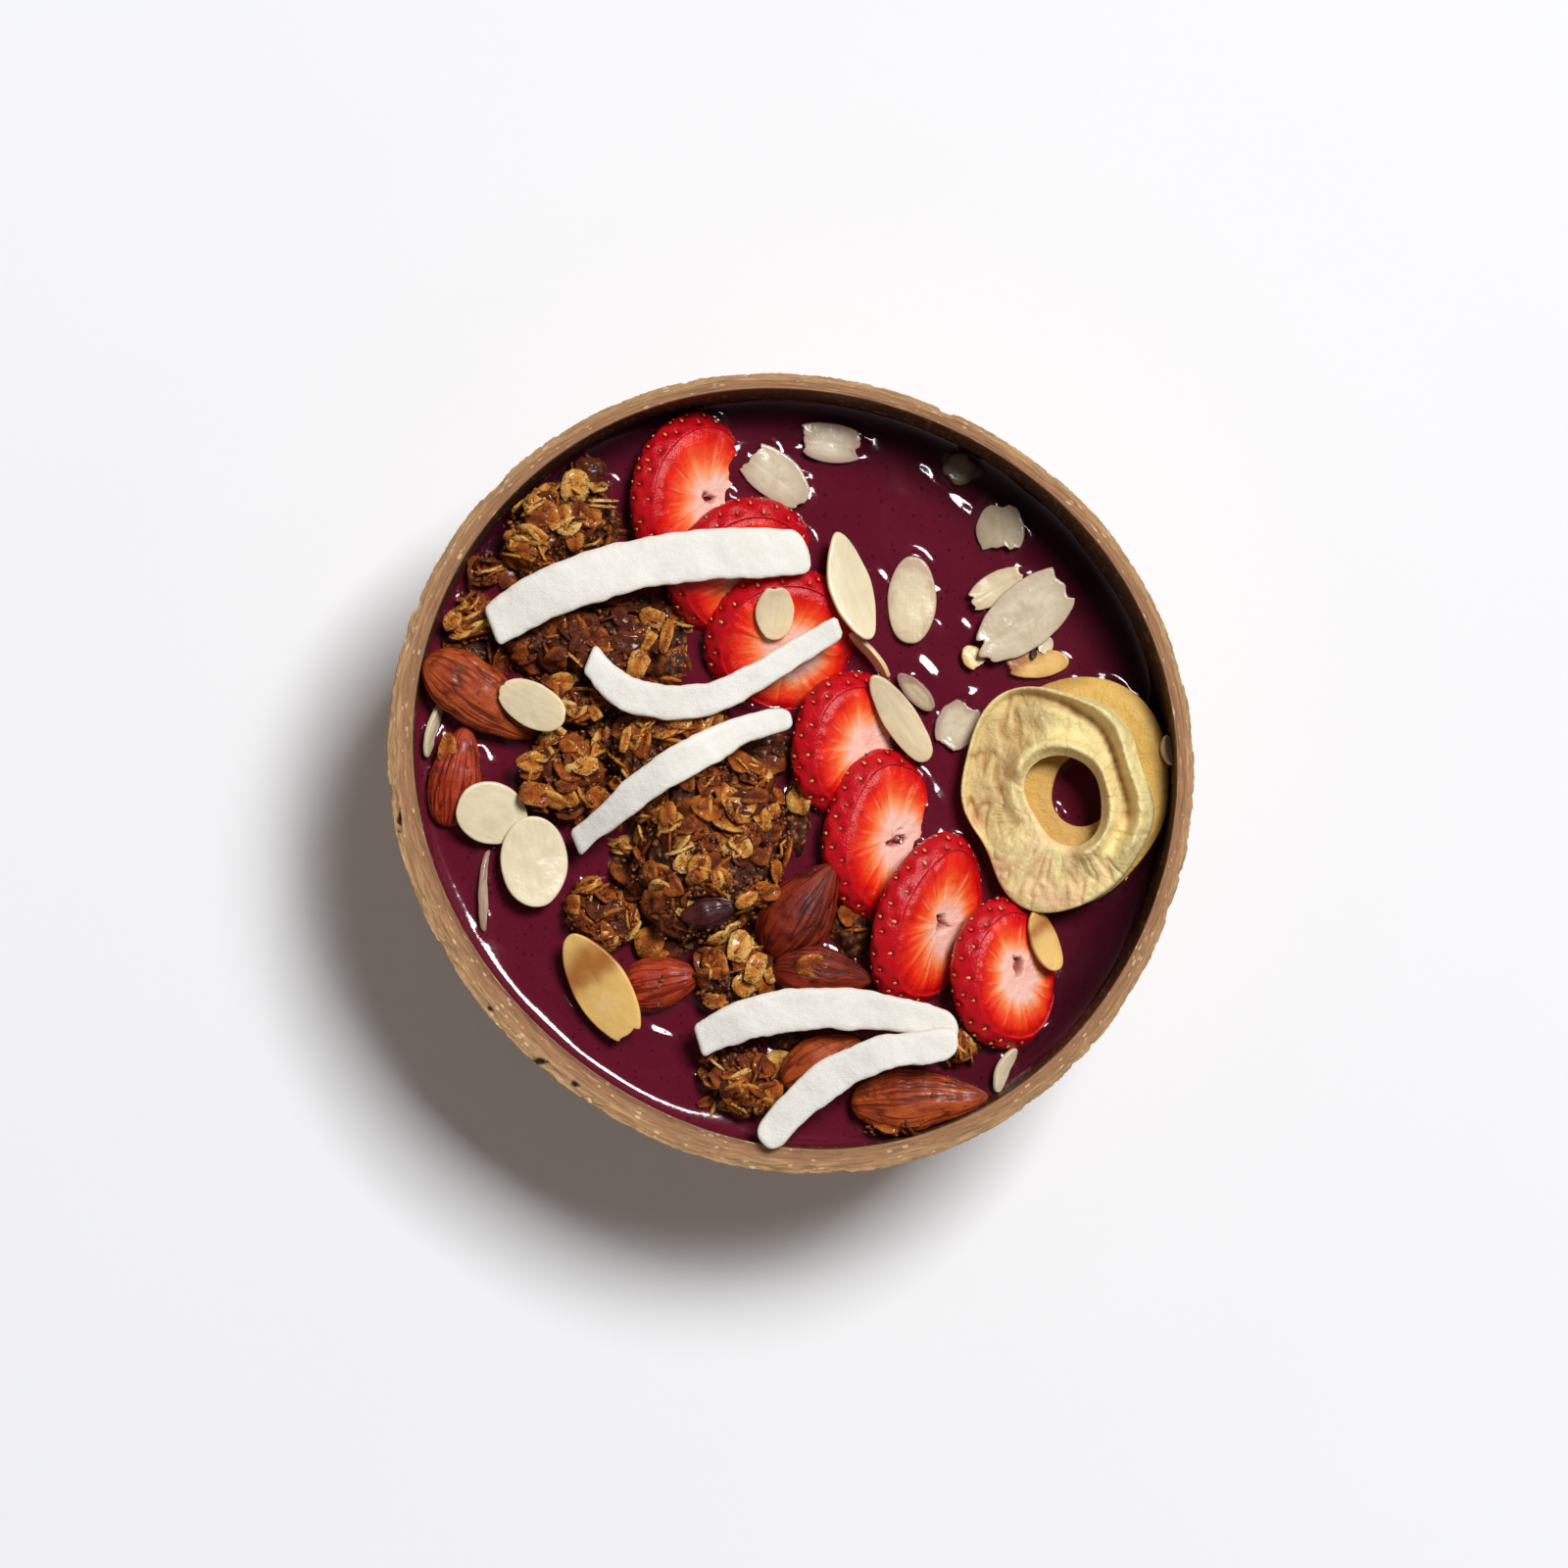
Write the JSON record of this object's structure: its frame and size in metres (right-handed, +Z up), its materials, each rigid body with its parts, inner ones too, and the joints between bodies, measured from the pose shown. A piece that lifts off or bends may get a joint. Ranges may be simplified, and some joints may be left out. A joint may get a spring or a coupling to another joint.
{
  "type": "acai bowl",
  "caption": "Coconut-shell bowl of purple fruit puree topped with granola, almonds, sliced strawberries, coconut strips, almond flakes and dried apple rings.",
  "frame": {"origin": "bottom centre of the bowl's bounding box, on the surface that it stands on", "axes": "+Z up; +X to the right and +Y to the back of the bowl, with the strawberry row running from the back left to the front right"},
  "size_m": [0.1408, 0.1398, 0.0673],
  "materials": {
    "shell": "sanded fibrous coconut shell, dull",
    "puree": "smooth wet fruit puree",
    "granola": "baked oat clusters with a sugar glaze",
    "almond": "ribbed almond skin",
    "dried_fruit": "dark dried fruit",
    "strawberry": "wet cut strawberry",
    "apple": "leathery dried apple",
    "flake": "blanched almond flake",
    "coconut": "dry coconut flesh"
  },
  "bodies": {
    "root": {"almond_1": "almond", "almond_2": "almond", "almond_3": "almond", "almond_4": "almond", "almond_5": "almond", "almond_6": "almond", "almond_7": "almond", "almond_flake_01": "flake", "almond_flake_02": "flake", "almond_flake_03": "flake", "almond_flake_04": "flake", "almond_flake_05": "flake", "almond_flake_06": "flake", "almond_flake_07": "flake", "almond_flake_08": "flake", "almond_flake_09": "flake", "almond_flake_10": "flake", "almond_flake_11": "flake", "almond_flake_12": "flake", "almond_flake_13": "flake", "almond_flake_14": "flake", "almond_flake_15": "flake", "almond_flake_16": "flake", "almond_flake_17": "flake", "almond_flake_18": "flake", "almond_flake_19": "flake", "almond_flake_20": "flake", "almond_flake_21": "flake", "almond_flake_22": "flake", "apple_ring_1": "apple", "apple_ring_2": "apple", "bowl": "shell", "coconut_strip_1": "coconut", "coconut_strip_2": "coconut", "coconut_strip_3": "coconut", "coconut_strip_4": "coconut", "coconut_strip_5": "coconut", "dried_fruit": "dried_fruit", "granola_01": "granola", "granola_02": "granola", "granola_03": "granola", "granola_04": "granola", "granola_05": "granola", "granola_06": "granola", "granola_07": "granola", "granola_08": "granola", "granola_09": "granola", "granola_10": "granola", "granola_11": "granola", "granola_12": "granola", "granola_13": "granola", "puree": "puree", "strawberry_1": "strawberry", "strawberry_2": "strawberry", "strawberry_3": "strawberry", "strawberry_4": "strawberry", "strawberry_5": "strawberry", "strawberry_6": "strawberry", "strawberry_7": "strawberry"}
  },
  "joints": []
}
